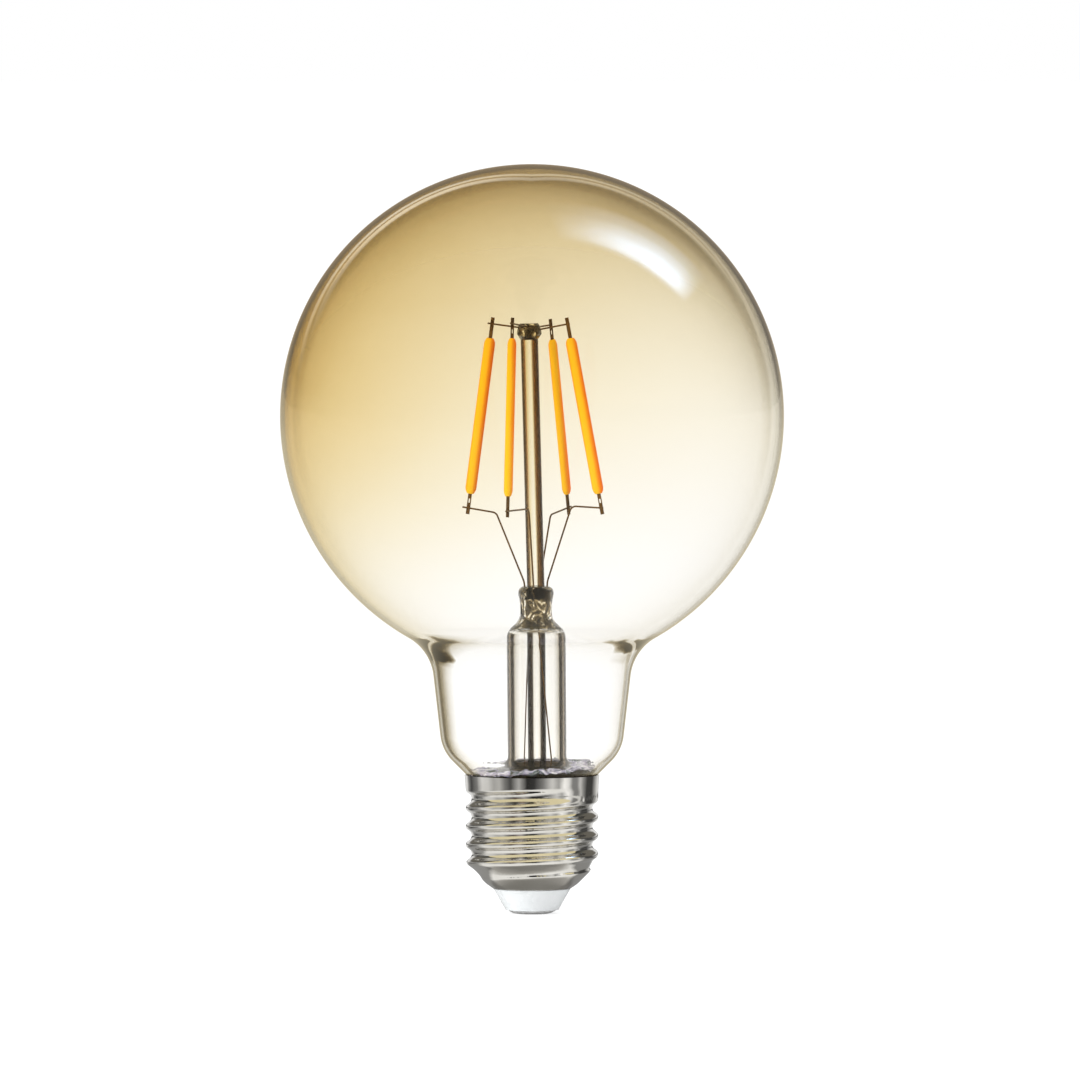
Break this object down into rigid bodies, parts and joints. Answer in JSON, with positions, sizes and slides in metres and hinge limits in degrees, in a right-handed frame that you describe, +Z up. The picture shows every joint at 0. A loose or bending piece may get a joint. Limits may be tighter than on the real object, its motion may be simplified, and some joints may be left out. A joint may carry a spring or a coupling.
{
  "type": "globe bulb",
  "caption": "Clear amber-tinted globe lamp with slender yellow light-emitting sticks on a glass stem and a bright nickel screw cap.",
  "frame": {"origin": "middle of the centre contact's lower face, on the bulb's axis", "axes": "+Z up the bulb's axis from the contact to the top of the globe, +X to the right in the front view"},
  "size_m": [0.099, 0.099, 0.1473],
  "materials": {
    "envelope_glass": "clear amber-tinted blown glass",
    "stem_glass": "clear fire-polished glass",
    "stick_coat": "smooth yellow-orange phosphor silicone",
    "tab_metal": "dull plated strip",
    "wire_metal": "dull drawn wire",
    "nickel_shell": "bright nickel plate on rolled sheet",
    "insulator": "white semi-gloss moulding",
    "contact_metal": "stamped plated metal",
    "cement": "translucent grey adhesive",
    "board": "green laminate",
    "capacitor_sleeve": "dark shrink sleeve",
    "moulded_black": "moulded epoxy",
    "resistor_body": "lacquered"
  },
  "bodies": {
    "root": {"anchor_wire_1": "wire_metal", "anchor_wire_2": "wire_metal", "anchor_wire_3": "wire_metal", "anchor_wire_4": "wire_metal", "bridge_rectifier": "moulded_black", "cap_cement": "cement", "cap_insulator": "insulator", "driver_board": "board", "driver_chip": "moulded_black", "exhaust_tube": "stem_glass", "feed_wire_back": "wire_metal", "feed_wire_front": "wire_metal", "fuse_resistor": "resistor_body", "glass_globe": "envelope_glass", "lead_wire_1": "wire_metal", "lead_wire_2": "wire_metal", "lead_wire_3": "wire_metal", "lead_wire_4": "wire_metal", "light_stick_1": "stick_coat", "light_stick_2": "stick_coat", "light_stick_3": "stick_coat", "light_stick_4": "stick_coat", "lower_tab_1": "tab_metal", "lower_tab_2": "tab_metal", "lower_tab_3": "tab_metal", "lower_tab_4": "tab_metal", "screw_shell": "nickel_shell", "shell_wire": "wire_metal", "smoothing_capacitor": "capacitor_sleeve", "stem_flare": "stem_glass", "support_column": "stem_glass", "tip_contact": "contact_metal", "upper_tab_1": "tab_metal", "upper_tab_2": "tab_metal", "upper_tab_3": "tab_metal", "upper_tab_4": "tab_metal"}
  },
  "joints": []
}
